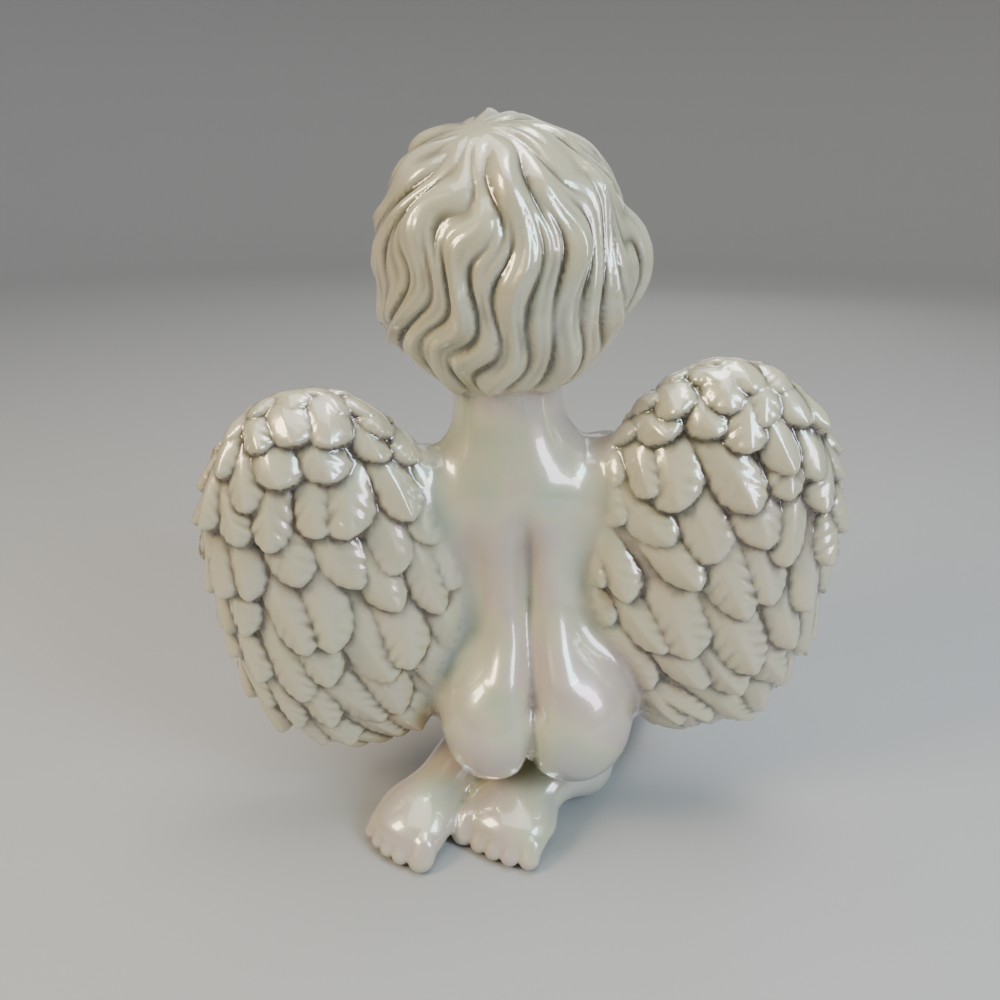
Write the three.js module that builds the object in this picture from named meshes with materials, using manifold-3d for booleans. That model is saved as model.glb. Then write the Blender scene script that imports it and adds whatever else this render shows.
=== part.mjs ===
// Porcelain angel figurine: a kneeling winged child, slip-cast and glazed in one piece.
// Millimetres, +Z up. The figure faces +Y, so its back and the backs of its wings look to -Y.
// +X is the figure's right-hand side. The origin is on the flat underside, between the shins.
//
// The figure is one smooth field: soft masses blended together, with locks of hair and feathers
// raised on them. The field's zero surface is meshed, thinned where it is smooth, and cut flat
// below, where the figure rests.

import * as THREE from "three";
import { mergeVertices } from "three/addons/utils/BufferGeometryUtils.js";
import Module from "manifold-3d";

// Driving size
const FIGURE_HEIGHT = 240;

// The pose, proportions and carving below are written in shares of the height: one share is a
// 240th of it.
const SHARE = FIGURE_HEIGHT / 240;
const mm = (shares) => shares * SHARE;

// Meshing: the grid step in shares, and the most faces kept.
const GRID_STEP = 2.2;
const TRIANGLE_BUDGET = 9700;

// Head
const HEAD_CENTRE = [-5, 4, 199];
const HEAD_ROLL = 6;
const HEAD_TURN = 8;
const HEAD_LIFT = 4;
const HAIR_RADII = [39.5, 39, 39.5];
const CROWN_ELEVATION = 66;
const LOCK_HEIGHT = 4.8;
const LOCK_LENGTH = 36;
const LOCK_WAVE = 3.6;
const LOCKS_AT_CROWN = 7;
const LOCK_SPLIT = [40, 70];

// Wings
const WING_BACK_DEPTH = 21;
const WING_FRONT_DEPTH = 9;
const FEATHER_HEIGHT = 6;
const FRONT_FEATHER_SHARE = 0.45;
const FEATHER_WIDTH = 11;
const TOP_ROW_STEP = 8.5;
const BOTTOM_ROW_STEP = 20;
const CHART_REACH = 1.2;
const LEFT_WING = {
  centre: [-58.8, -13, 96.5],
  half: [45, 70],
  lean: -8,
  sweep: 7,
  side: -1,
  upper: { inner: 1.9, outer: 2.2 },
  lower: { inner: 2.2, outer: 3.1 },
};
const RIGHT_WING = {
  centre: [61.2, -13, 104.8],
  half: [43.2, 70.5],
  lean: 3,
  sweep: -7,
  side: 1,
  upper: { inner: 1.9, outer: 2.25 },
  lower: { inner: 2.2, outer: 2.6 },
};

// Limbs
const THIGH_RADIUS = 20;
const CALF_RADIUS = 14;
const ANKLE_RADIUS = 10.5;
const FOOT_TURN = 30;
const FOOT_LENGTH = 46;
const TOE_RADIUS = 2.9;

// Side of the cells that raised feathers are sorted into.
const RELIEF_CELL = 12;

const radians = THREE.MathUtils.degToRad;
const clamp = THREE.MathUtils.clamp;

// A repeatable number from 0 to 1 for a pair of counters.
function scatter(a, b) {
  const s = Math.sin(a * 12.9898 + b * 78.233) * 43758.5453;
  return s - Math.floor(s);
}

function size(x, y, z) {
  return Math.sqrt(x * x + y * y + z * z);
}

// Field shapes: each is a function of a point that is negative inside, in millimetres.

// Their places and radii are given in shares.
function ellipsoid(centre, radii) {
  const [cx, cy, cz] = centre.map(mm);
  const [rx, ry, rz] = radii.map(mm);
  return (x, y, z) => {
    const px = (x - cx) / rx;
    const py = (y - cy) / ry;
    const pz = (z - cz) / rz;
    const near = size(px, py, pz);
    const slope = size(px / rx, py / ry, pz / rz);
    return slope < 1e-9 ? -Math.min(rx, ry, rz) : (near * (near - 1)) / slope;
  };
}

function limb(start, end, startRadius, endRadius) {
  const [ax, ay, az] = start.map(mm);
  const [bx, by, bz] = end.map(mm);
  const dx = bx - ax;
  const dy = by - ay;
  const dz = bz - az;
  const lengthSquared = dx * dx + dy * dy + dz * dz;
  return (x, y, z) => {
    const along = ((x - ax) * dx + (y - ay) * dy + (z - az) * dz) / lengthSquared;
    const t = clamp(along, 0, 1);
    const radius = mm(startRadius + (endRadius - startRadius) * t);
    return size(x - ax - dx * t, y - ay - dy * t, z - az - dz * t) - radius;
  };
}

function softMin(a, b, reach) {
  const h = Math.max(reach - Math.abs(a - b), 0) / reach;
  return Math.min(a, b) - (h * h * reach) / 4;
}

// Joins shapes with a fillet of about the given reach.
function blend(reach, ...shapes) {
  return (x, y, z) => {
    let d = shapes[0](x, y, z);
    for (let i = 1; i < shapes.length; i++) d = softMin(d, shapes[i](x, y, z), mm(reach));
    return d;
  };
}

// Takes one shape out of another, with a soft edge.
function carve(reach, shape, ...tools) {
  return (x, y, z) => {
    let d = shape(x, y, z);
    for (const tool of tools) d = -softMin(-d, tool(x, y, z), mm(reach));
    return d;
  };
}

// Puts a shape into a turned frame. The turn is roll about Y, lift about X and turn about Z.
function placed(centre, rollDegrees, liftDegrees, turnDegrees, shape) {
  const euler = new THREE.Euler(
    radians(liftDegrees), radians(rollDegrees), radians(turnDegrees), "ZXY",
  );
  const m = new THREE.Matrix4().makeRotationFromEuler(euler).elements;
  const [cx, cy, cz] = centre.map(mm);
  return (x, y, z) => {
    const dx = x - cx;
    const dy = y - cy;
    const dz = z - cz;
    return shape(
      m[0] * dx + m[1] * dy + m[2] * dz,
      m[4] * dx + m[5] * dy + m[6] * dz,
      m[8] * dx + m[9] * dy + m[10] * dz,
    );
  };
}

// One raised feather: it starts level at root, rises along a unit direction to a free, blunt tip,
// and lies flat in the plane of the along and across directions. curl bends it to one side.
function plume({ along, across, tip, ...sizes }) {
  const root = sizes.root.map(mm);
  const [length, width, height, curl] = ["length", "width", "height", "curl"].map((name) => mm(sizes[name]));
  const middle = root.map((v, i) => v + (along[i] * length) / 2);
  const reach = length / 2 + width / 2 + Math.abs(curl);
  const rise = (x, y, z) => {
    const dx = x - root[0];
    const dy = y - root[1];
    const dz = z - root[2];
    const a = (dx * along[0] + dy * along[1] + dz * along[2]) / length;
    if (a < 0 || a > 1) return 0;
    const bend = curl * a * a;
    const b = (2 * (dx * across[0] + dy * across[1] + dz * across[2] - bend)) / width;
    const taper = a < tip ? 0.8 + (0.2 * a) / tip : Math.sqrt(1 - ((a - tip) / (1 - tip)) ** 2);
    const edge = Math.abs(b) / Math.max(taper, 1e-6);
    if (edge >= 1) return 0;
    return height * a ** 0.8 * Math.min(1, taper * 1.3) * (1 - edge * edge) ** 0.7;
  };
  return { middle, reach, rise };
}

// The highest of many plumes at a point. They are sorted into cells of space first.
function relief(plumes) {
  const cells = new Map();
  const cellOf = (v) => Math.floor(v / mm(RELIEF_CELL)) + 50;
  for (const { middle, reach, rise } of plumes) {
    const [from, to] = [-reach, reach].map((r) => middle.map((v) => cellOf(v + r)));
    for (let i = from[0]; i <= to[0]; i++)
      for (let j = from[1]; j <= to[1]; j++)
        for (let k = from[2]; k <= to[2]; k++) {
          const key = i + 100 * (j + 100 * k);
          if (!cells.has(key)) cells.set(key, []);
          cells.get(key).push(rise);
        }
  }
  return (x, y, z) => {
    let h = 0;
    const near = cells.get(cellOf(x) + 100 * (cellOf(y) + 100 * cellOf(z)));
    if (near) for (const rise of near) h = Math.max(h, rise(x, y, z));
    return h;
  };
}

// A smooth step from 0 to 1 between two values.
function fade(from, to, v) {
  return THREE.MathUtils.smoothstep(v, from, to);
}

// Sinks a groove into the back of a shape along a line given by x and z. A negative depth raises
// a ridge.
function groove(shape, start, end, width, depth) {
  const [ax, az] = start.map(mm);
  const [bx, bz] = end.map(mm);
  const lengthSquared = (bx - ax) ** 2 + (bz - az) ** 2;
  return (x, y, z) => {
    const d = shape(x, y, z);
    if (y > 0 || Math.abs(d) > mm(12)) return d;
    const t = clamp(((x - ax) * (bx - ax) + (z - az) * (bz - az)) / lengthSquared, 0, 1);
    const away = size(x - ax - (bx - ax) * t, z - az - (bz - az) * t, 0);
    return d + mm(depth) * Math.exp(-((away / mm(width)) ** 2)) * fade(0, 0.4, t) * fade(0, mm(12), -y);
  };
}

// Hair: wavy locks that run out from the crown, their number doubling part of the way out. Every
// lock is a narrow ridge that swells and sinks along its length, with a lower ridge between it
// and the next. The result is the height at a point, from 0 to the lock height.
function hairRelief() {
  const radius = mm(HAIR_RADII[0]);
  const [sine, cosine] = [Math.sin(radians(CROWN_ELEVATION)), Math.cos(radians(CROWN_ELEVATION))];
  const ridge = (count, turn, along, seed) => {
    const position = (count * turn) / (2 * Math.PI);
    const number = Math.round(position);
    const own = scatter((((number % count) + count) % count) + seed, count);
    const swell = 0.68 + 0.32 * Math.sin(2 * Math.PI * (along / mm(LOCK_LENGTH) + own));
    return swell * (0.5 + 0.5 * Math.cos(2 * Math.PI * (position - number))) ** 1.4;
  };
  const locksOf = (count, turn, along) => {
    const between = ridge(count, turn + Math.PI / count, along * 1.3, 40);
    return Math.max(ridge(count, turn, along, 0), 0.62 * between);
  };
  return (x, y, z) => {
    const far = size(x, y, z);
    const polar = Math.acos(clamp((sine * z - cosine * y) / far, -1, 1));
    const turn = Math.atan2(sine * y + cosine * z, x);
    const along = radius * polar;
    const drift = 1.6 * Math.sin(2 * turn) + 1.3 * Math.sin(3 * turn + 1) + 0.4 * Math.sin(5 * turn);
    const sway = mm(LOCK_WAVE) * (0.8 + 0.35 * Math.sin(3 * turn + 2)) * fade(0, 0.5, polar);
    const wave = sway * Math.sin((2 * Math.PI * along) / mm(LOCK_LENGTH) + drift);
    const swept = turn + wave / Math.max(radius * Math.sin(polar), mm(9)) + 0.35 * polar;
    const split = fade(radians(LOCK_SPLIT[0]), radians(LOCK_SPLIT[1]), polar);
    const few = locksOf(LOCKS_AT_CROWN, swept, along);
    const many = locksOf(2 * LOCKS_AT_CROWN, swept, along);
    const centre = fade(0, 0.7, polar) * (1 - 0.6 * fade(1.75, 2.2, polar));
    return mm(LOCK_HEIGHT) * (0.45 * (1 - centre) + centre * (few + (many - few) * split));
  };
}

function head() {
  const locks = hairRelief();
  const skull = ellipsoid([0, -2, 2], HAIR_RADII);
  const nape = ellipsoid([0.5, -7, -11], [37, 30, 29.5]);
  const rightCurl = ellipsoid([35.5, 1, -4], [7.5, 10, 14]);
  const leftCurl = ellipsoid([-36, 4, -14], [7, 9, 8]);
  const mass = blend(6, skull, nape, rightCurl, leftCurl);
  const lockedMass = (x, y, z) => {
    const d = mass(x, y, z);
    return Math.abs(d) > mm(LOCK_HEIGHT) * 2.5 ? d : d + mm(LOCK_HEIGHT) * 0.45 - locks(x, y, z);
  };
  const faceWindow = ellipsoid([0, 40, -15], [24.5, 24, 26]);
  const hair = carve(3, lockedMass, faceWindow);
  const cheek = (side) => ellipsoid([side * 14, 22, -21], [13.5, 12.5, 12.5]);
  const eyeball = (side) => ellipsoid([side * 11.5, 27.5, -8.5], [6.8, 6, 5]);
  const socket = (side) => ellipsoid([side * 11.5, 36, -8], [8, 6, 6.5]);
  const ear = (side) => ellipsoid([side * 33, -1, -11], [4.5, 6.5, 9.5]);
  const flesh = blend(
    7,
    ellipsoid([0, 8, -7], [29, 27, 31]),
    cheek(-1),
    cheek(1),
    ellipsoid([0, 25, -33.5], [9, 9, 7]),
    ellipsoid([0, 20, 6], [22, 15, 14]),
  );
  const sockets = carve(4, flesh, socket(-1), socket(1));
  const face = blend(
    2,
    sockets,
    eyeball(-1),
    eyeball(1),
    limb([0, 34, -7], [0, 38.5, -17], 2.6, 3.9),
    ellipsoid([-3.4, 36, -18], [2.7, 3, 2.6]),
    ellipsoid([3.4, 36, -18], [2.7, 3, 2.6]),
    limb([-4, 34.5, -24.8], [4, 34.5, -24.8], 2, 2),
    limb([-3, 34, -27.6], [3, 34, -27.6], 2.3, 2.3),
    ear(-1),
    ear(1),
  );
  const whole = blend(1.6, hair, face);
  return placed(HEAD_CENTRE, -HEAD_ROLL, HEAD_LIFT, -HEAD_TURN, whole);
}

// Feathers: rows down the wing, each row overlapping the one below. The wing's surface is
// unrolled into a flat chart, where s runs outwards to the figure's right and t upwards.
function feathersOf({ half, side }) {
  const [halfWidth, halfHeight] = half;
  const feathers = [];
  let t = 1.12;
  for (let row = 0; t > -CHART_REACH; row++) {
    const down = (CHART_REACH - t) / (2 * CHART_REACH);
    const step = TOP_ROW_STEP + (BOTTOM_ROW_STEP - TOP_ROW_STEP) * down;
    const rowWidth = FEATHER_WIDTH * (0.8 + 0.25 * Math.sin(Math.PI * down) - 0.15 * down ** 3);
    const rowHalf = halfWidth * CHART_REACH;
    const count = Math.round((2 * rowHalf) / rowWidth);
    for (let k = -1; k <= count; k++) {
      const own = (n) => scatter(7 * row + n, k + 3 * n + side) - 0.5;
      const share = (k + 0.5 + (row % 2 ? 0.25 : -0.25)) / count;
      const s = rowHalf * (2 * share - 1) + 5 * own(1);
      const outwards = (side * s) / halfWidth;
      const angle = radians(featherAngle(side, outwards, t) + 26 * own(2));
      const along = [Math.sin(angle), -Math.cos(angle), 0];
      const length = (step * 1.5 + 4) * (1 + 0.4 * own(3)) * (1 - 0.2 * Math.max(0, -outwards));
      const middleT = t * halfHeight + 0.5 * step * own(4);
      const crest = 1 - fade(0.62, 1.02, t) * 0.75;
      const shoulder = 1 - 0.8 * fade(0.35, 0.9, -outwards) * fade(-0.1, 0.5, t);
      feathers.push(plume({
        root: [s - along[0] * length * 0.6, middleT - along[1] * length * 0.6, 0],
        along,
        across: [-along[1], along[0], 0],
        length,
        width: rowWidth * (1.2 + 0.4 * own(5)) * (1 - 0.2 * Math.max(0, -outwards)),
        height: FEATHER_HEIGHT * (0.95 + 0.4 * own(6)) * crest * shoulder,
        curl: side * (3 * down - 1) + 5 * own(7),
        tip: 0.72 + 0.16 * own(8),
      }));
    }
    t -= step / halfHeight;
  }
  return feathers;
}

// Which way a feather points, in degrees from straight down towards the figure's right.
function featherAngle(side, outwards, t) {
  const low = clamp((0.35 - t) / 1.1, 0, 1);
  if (side > 0) return 24 - 26 * outwards + 22 * low * (1 - Math.max(0, outwards));
  return -8 * Math.max(0, outwards) * (1 - low) + 34 * low;
}

// Each quarter of a wing's outline has its own squareness: 2 is an ellipse, more is fuller.
function wing(spec) {
  const [halfWidth, halfHeight] = spec.half.map(mm);
  const feathers = relief(feathersOf(spec));
  const shell = (x, y, z) => {
    const depth = mm(y < 0 ? WING_BACK_DEPTH : WING_FRONT_DEPTH);
    const quarter = z > 0 ? spec.upper : spec.lower;
    const n = x * spec.side > 0 ? quarter.outer : quarter.inner;
    const flat = Math.pow(
      Math.pow(Math.abs(x / halfWidth), n) + Math.pow(Math.abs(z / halfHeight), n), 1 / n,
    );
    const near = size(flat, y / depth, 0);
    const slope = size(x / halfWidth ** 2, y / depth ** 2, z / halfHeight ** 2);
    const d = slope < 1e-9 ? -depth : (near * (near - 1)) / slope;
    if (Math.abs(d) > mm(FEATHER_HEIGHT) * 3) return d;
    const fromPole = Math.atan2(flat, Math.abs(y) / depth) / (Math.PI / 2);
    const stretch = (y < 0 ? fromPole : Math.min(2 - fromPole, fromPole + 0.15)) / Math.max(flat, 0.02);
    const share = y < 0 ? 1 : Math.max(FRONT_FEATHER_SHARE, 1 - (2 * y) / depth);
    return d + share * (mm(FEATHER_HEIGHT) * 0.45 - feathers(x * stretch, z * stretch, 0));
  };
  return placed(spec.centre, spec.lean, 0, spec.sweep, shell);
}

function torso() {
  const trunk = blend(
    17,
    ellipsoid([5.5, -9, 48], [32.5, 26, 24]),
    ellipsoid([6.5, -11, 66], [25, 21, 22]),
    ellipsoid([6, 6, 76], [25, 24, 26]),
    ellipsoid([3.5, 0, 97], [23, 18, 25]),
    ellipsoid([0, 1, 117], [28, 20, 27]),
    limb([-29, -3, 124], [28, -3, 127], 12, 12),
  );
  const neck = limb([-1, -4, 132], [-5, 0, 172], 18, 18);
  const buttocks = blend(
    2.5,
    ellipsoid([-9, -28, 45.5], [16.5, 18, 20]),
    ellipsoid([20.5, -27, 46.5], [19.5, 19, 23]),
  );
  const seated = blend(15, blend(15, trunk, neck), buttocks);
  const leftMuscle = groove(seated, [-8, 128], [-5, 70], 6, -1.8);
  const muscles = groove(leftMuscle, [11, 128], [15, 70], 6, -1.8);
  const spine = groove(muscles, [1.2, 134], [5.5, 58], 3.6, 4.4);
  return groove(spine, [5.5, 66], [4, 26], 2.6, 2.6);
}

// Legs: kneeling, with both lower legs swept back and to the figure's left, soles up.
function leg(hip, knee, ankle, toeCentre, toeRadii) {
  const heel = [ankle[0], ankle[1], ankle[2] + 4];
  const footAngle = radians(FOOT_TURN);
  const backwards = [-Math.sin(footAngle), -Math.cos(footAngle)];
  const sideways = [-backwards[1], backwards[0]];
  const at = (along, across, height) => [
    toeCentre[0] + backwards[0] * along + sideways[0] * across,
    toeCentre[1] + backwards[1] * along + sideways[1] * across,
    height,
  ];
  const footWidth = toeRadii.reduce((sum, r) => sum + 1.85 * r, 0);
  const thigh = limb(hip, knee, THIGH_RADIUS, THIGH_RADIUS * 0.88);
  const calf = limb([knee[0] - 1, knee[1] - 2, 13], ankle, CALF_RADIUS, ANKLE_RADIUS);
  const sole = blend(
    5,
    ellipsoid([0, 13, 8.5], [footWidth / 2 + 1, 13, 8.5]),
    ellipsoid([0, 5, 6], [footWidth / 2, 7, 6]),
  );
  const foot = blend(
    8,
    limb(heel, at(-FOOT_LENGTH * 0.4, 0, 10.5), 11.5, 8.5),
    placed(toeCentre, 0, 0, -FOOT_TURN, sole),
  );
  const toes = [];
  let across = -footWidth / 2;
  for (const radius of toeRadii) {
    across += radius * 0.93;
    const bow = 4.5 * (1 - ((2 * across) / footWidth) ** 2);
    toes.push(limb(at(bow - 6, across * 0.97, 7.5), at(bow - 3, across, 4.2), radius * 1.12, radius * 1.12));
    across += radius * 0.92;
  }
  return { thigh, calf, foot: blend(0.8, foot, ...toes) };
}

function legs() {
  const small = TOE_RADIUS;
  const right = leg([23, -8, 42], [45, 34, 20], [26, -14, 12], [-8.5, -44.5, 0],
    [small * 1.7, small * 1.15, small * 1.1, small * 1.15, small * 1.2]);
  const left = leg([-7, -8, 42], [12, 40, 20], [-17, -7, 12], [-43, -45.5, 0],
    [small * 0.85, small * 0.9, small * 0.95, small * 1.1, small * 1.5]);
  const filler = ellipsoid([9, 7, 10], [27, 30, 14]);
  const thighs = blend(6, right.thigh, left.thigh, filler);
  const calves = blend(2.5, right.calf, left.calf);
  const feet = blend(1.5, right.foot, left.foot);
  return { thighs, shins: blend(4, calves, feet) };
}

// Arms: folded in front of the chest, palms together.
function arm(side, shoulder, elbow, wrist, fingertips) {
  const palm = wrist.map((v, i) => v + (fingertips[i] - v) * 0.36);
  const hand = blend(
    2.5,
    ellipsoid(palm, [4, 7.5, 9.5]),
    limb([palm[0], palm[1] + 2.5, palm[2] + 5], fingertips, 3.2, 2.4),
    limb([palm[0], palm[1] - 2.5, palm[2] + 5], fingertips.map((v, i) => v - [0, 4.5, 3][i]), 3.2, 2.4),
    limb([palm[0] + side, palm[1] - 6, palm[2] - 3], [palm[0], palm[1] - 9, palm[2] + 6], 2.6, 2.1),
  );
  return blend(
    4,
    limb(shoulder, elbow, 13, 11),
    limb(elbow, wrist, 10.8, 6.8),
    hand,
  );
}

function arms() {
  const left = arm(-1, [-33, 2, 126], [-33, 25, 97], [-7, 42, 113], [-5, 44, 146]);
  const right = arm(1, [31, 2, 131], [35, 25, 100], [3, 42, 113], [0.5, 44, 146]);
  return blend(0.8, left, right);
}

function figure() {
  const { thighs, shins } = legs();
  const body = blend(7, torso(), thighs);
  const kneeling = blend(1.8, body, shins);
  const armed = blend(5, kneeling, arms());
  const winged = blend(11, armed, wing(LEFT_WING), wing(RIGHT_WING));
  return blend(1.5, winged, head());
}

// Blocks of this many nodes whose centre lies far from the surface are filled with one value.
const BLOCK_NODES = 5;

// Meshing: each grid cube is split into six tetrahedra, and the zero surface is cut out of each.
const CUBE_TETRAHEDRA = [
  [0, 5, 1, 6], [0, 1, 2, 6], [0, 2, 3, 6], [0, 3, 7, 6], [0, 7, 4, 6], [0, 4, 5, 6],
];
const CUBE_CORNERS = [
  [0, 0, 0], [1, 0, 0], [1, 1, 0], [0, 1, 0], [0, 0, 1], [1, 0, 1], [1, 1, 1], [0, 1, 1],
];

// The box that holds a field's solid, with a margin. It is searched for outwards from the origin.
function roomAround(field, step) {
  const low = [0, 0, 0];
  const high = [0, 0, 0];
  const reach = Math.ceil((1.5 * FIGURE_HEIGHT) / step);
  for (let k = -2; k <= reach; k++)
    for (let j = -reach / 2; j <= reach / 2; j++)
      for (let i = -reach / 2; i <= reach / 2; i++) {
        const p = [i * step, j * step, k * step];
        if (field(...p) > step) continue;
        p.forEach((v, axis) => {
          low[axis] = Math.min(low[axis], v - step);
          high[axis] = Math.max(high[axis], v + step);
        });
      }
  return { low, high };
}

function meshField(field, low, high, step) {
  const counts = low.map((v, i) => Math.ceil((high[i] - v) / step) + 1);
  const [nx, ny, nz] = counts;
  const values = new Float64Array(nx * ny * nz);
  const indexOf = (i, j, k) => i + nx * (j + ny * k);
  const pointOf = (n) => {
    const i = n % nx;
    const j = Math.floor(n / nx) % ny;
    const k = Math.floor(n / (nx * ny));
    return [low[0] + i * step, low[1] + j * step, low[2] + k * step];
  };
  const blockReach = BLOCK_NODES * step * 1.1 + 5;
  for (let k = 0; k < nz; k += BLOCK_NODES)
    for (let j = 0; j < ny; j += BLOCK_NODES)
      for (let i = 0; i < nx; i += BLOCK_NODES) {
        const [x, y, z] = [i, j, k].map((v, axis) => low[axis] + (v + BLOCK_NODES / 2) * step);
        const central = field(x, y, z);
        const isFar = Math.abs(central) > blockReach;
        for (let kk = k; kk < Math.min(k + BLOCK_NODES, nz); kk++)
          for (let jj = j; jj < Math.min(j + BLOCK_NODES, ny); jj++)
            for (let ii = i; ii < Math.min(i + BLOCK_NODES, nx); ii++) {
              const value = isFar
                ? central
                : field(low[0] + ii * step, low[1] + jj * step, low[2] + kk * step);
              values[indexOf(ii, jj, kk)] = Math.abs(value) < 1e-4 ? 1e-4 : value;
            }
      }
  const points = [];
  const triangles = [];
  const crossings = new Map();
  const crossing = (a, b) => {
    const key = Math.min(a, b) * values.length + Math.max(a, b);
    if (crossings.has(key)) return crossings.get(key);
    const t = values[a] / (values[a] - values[b]);
    const pa = pointOf(a);
    const pb = pointOf(b);
    points.push(pa.map((v, i) => v + (pb[i] - v) * t));
    crossings.set(key, points.length - 1);
    return points.length - 1;
  };
  const offsets = CUBE_CORNERS.map(([i, j, k]) => indexOf(i, j, k));
  for (let k = 0; k < nz - 1; k++)
    for (let j = 0; j < ny - 1; j++)
      for (let i = 0; i < nx - 1; i++) {
        const base = indexOf(i, j, k);
        const inside = offsets.filter((o) => values[base + o] < 0).length;
        if (inside === 0 || inside === 8) continue;
        for (const corners of CUBE_TETRAHEDRA)
          cutTetrahedron(corners.map((c) => base + offsets[c]), values, crossing, triangles);
      }
  return { points, triangles };
}

// The corners are ordered so that the tetrahedron is right-handed; faces come out pointing outwards.
function cutTetrahedron(corners, values, crossing, triangles) {
  const isIn = corners.filter((c) => values[c] < 0);
  const isOut = corners.filter((c) => values[c] >= 0);
  if (isIn.length === 0 || isOut.length === 0) return;
  const odd = permutationIsOdd([...isIn, ...isOut].map((c) => corners.indexOf(c)));
  const add = (a, b, c) => triangles.push(odd ? [a, c, b] : [a, b, c]);
  if (isIn.length === 1) {
    const [a, b, c] = isOut.map((o) => crossing(isIn[0], o));
    add(a, b, c);
  } else if (isIn.length === 3) {
    const [a, b, c] = isIn.map((n) => crossing(n, isOut[0]));
    add(a, b, c);
  } else {
    const [p, q] = isIn;
    const [r, s] = isOut;
    const [pr, ps, qs, qr] = [crossing(p, r), crossing(p, s), crossing(q, s), crossing(q, r)];
    add(pr, ps, qs);
    add(pr, qs, qr);
  }
}

function permutationIsOdd(order) {
  let swaps = 0;
  for (let i = 0; i < order.length; i++)
    for (let j = i + 1; j < order.length; j++) if (order[i] > order[j]) swaps++;
  return swaps % 2 === 1;
}

// Thinning: edges are collapsed in order of how little they change the shape, by the summed
// squared distance to the planes of the faces they stand for. The plainer fronts of the wings
// count for less.
function thin({ points, triangles }, budget) {
  const faces = triangles.map((t) => [...t]);
  const around = points.map(() => new Set());
  faces.forEach((f, n) => f.forEach((v) => around[v].add(n)));
  const quadrics = points.map(() => new Float64Array(10));
  faces.forEach((f) => {
    const [nx, ny, nz, area] = facePlane(f, points);
    const isWingFront = ny > 0.4 && points[f[0]][1] < mm(10);
    const weight = isWingFront ? 0.3 * area : area;
    const d = -(nx * points[f[0]][0] + ny * points[f[0]][1] + nz * points[f[0]][2]);
    const q = [nx * nx, nx * ny, nx * nz, nx * d, ny * ny, ny * nz, ny * d, nz * nz, nz * d, d * d];
    for (const v of f) q.forEach((value, i) => (quadrics[v][i] += value * weight));
  });
  const version = new Uint32Array(points.length);
  const heap = new Heap();
  const offer = (a, b) => {
    const joint = quadrics[a].map((value, i) => value + quadrics[b][i]);
    const place = bestPlace(joint, points[a], points[b]);
    const cost = planeCost(joint, place) + 1e-5 * distance(points[a], points[b]) ** 2;
    heap.push({ cost, a, b, place, versions: version[a] + version[b] });
  };
  for (const f of faces)
    for (let i = 0; i < 3; i++) if (f[i] < f[(i + 1) % 3]) offer(f[i], f[(i + 1) % 3]);
  let count = faces.length;
  const gone = new Uint8Array(points.length);
  while (count > budget && heap.size) {
    const { a, b, place, versions } = heap.pop();
    if (gone[a] || gone[b] || version[a] + version[b] !== versions) continue;
    if (!mayCollapse(a, b, place, faces, around, points)) continue;
    for (const n of around[b]) {
      const f = faces[n];
      if (f.includes(a)) {
        f.forEach((v) => v !== b && around[v].delete(n));
        faces[n] = null;
        count--;
      } else {
        f[f.indexOf(b)] = a;
        around[a].add(n);
      }
    }
    points[a] = place;
    quadrics[b].forEach((value, i) => (quadrics[a][i] += value));
    gone[b] = 1;
    version[a]++;
    for (const v of neighbours(a, faces, around)) offer(a, v);
  }
  return { points, triangles: faces.filter(Boolean) };
}

function distance(p, q) {
  return size(p[0] - q[0], p[1] - q[1], p[2] - q[2]);
}

function facePlane([a, b, c], points, moved = -1, place = null) {
  const [p, q, r] = [a, b, c].map((v) => (v === moved ? place : points[v]));
  const ux = q[0] - p[0];
  const uy = q[1] - p[1];
  const uz = q[2] - p[2];
  const vx = r[0] - p[0];
  const vy = r[1] - p[1];
  const vz = r[2] - p[2];
  const nx = uy * vz - uz * vy;
  const ny = uz * vx - ux * vz;
  const nz = ux * vy - uy * vx;
  const length = size(nx, ny, nz) || 1e-12;
  return [nx / length, ny / length, nz / length, length / 2];
}

function planeCost(q, [x, y, z]) {
  return (
    q[0] * x * x + 2 * q[1] * x * y + 2 * q[2] * x * z + 2 * q[3] * x +
    q[4] * y * y + 2 * q[5] * y * z + 2 * q[6] * y + q[7] * z * z + 2 * q[8] * z + q[9]
  );
}

function bestPlace(q, p, r) {
  const middle = p.map((v, i) => (v + r[i]) / 2);
  const [a, b, c, d, e, f, g, h, i] = q;
  const determinant = a * (e * h - f * f) - b * (b * h - f * c) + c * (b * f - e * c);
  const places = [p, r, middle];
  if (Math.abs(determinant) > 1e-6) {
    const best = [
      -(d * (e * h - f * f) - b * (g * h - f * i) + c * (g * f - e * i)) / determinant,
      -(a * (g * h - i * f) - d * (b * h - f * c) + c * (b * i - g * c)) / determinant,
      -(a * (e * i - f * g) - b * (b * i - g * c) + d * (b * f - e * c)) / determinant,
    ];
    if (distance(best, middle) < 2 * distance(p, r)) places.push(best);
  }
  return places.reduce((x, y) => (planeCost(q, y) < planeCost(q, x) ? y : x));
}

function neighbours(v, faces, around) {
  const near = new Set();
  for (const n of around[v]) for (const w of faces[n]) if (w !== v) near.add(w);
  return near;
}

// A collapse has to keep the surface closed and may not turn a face over.
function mayCollapse(a, b, place, faces, around, points) {
  const nearA = neighbours(a, faces, around);
  let shared = 0;
  for (const v of neighbours(b, faces, around)) if (nearA.has(v)) shared++;
  if (shared !== 2) return false;
  for (const v of [a, b])
    for (const n of around[v]) {
      const f = faces[n];
      if (f.includes(a) && f.includes(b)) continue;
      const before = facePlane(f, points);
      const after = facePlane(f, points, v, place);
      const turned = before[0] * after[0] + before[1] * after[1] + before[2] * after[2];
      if (turned < 0.3 || after[3] < 1e-3) return false;
    }
  return true;
}

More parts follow.
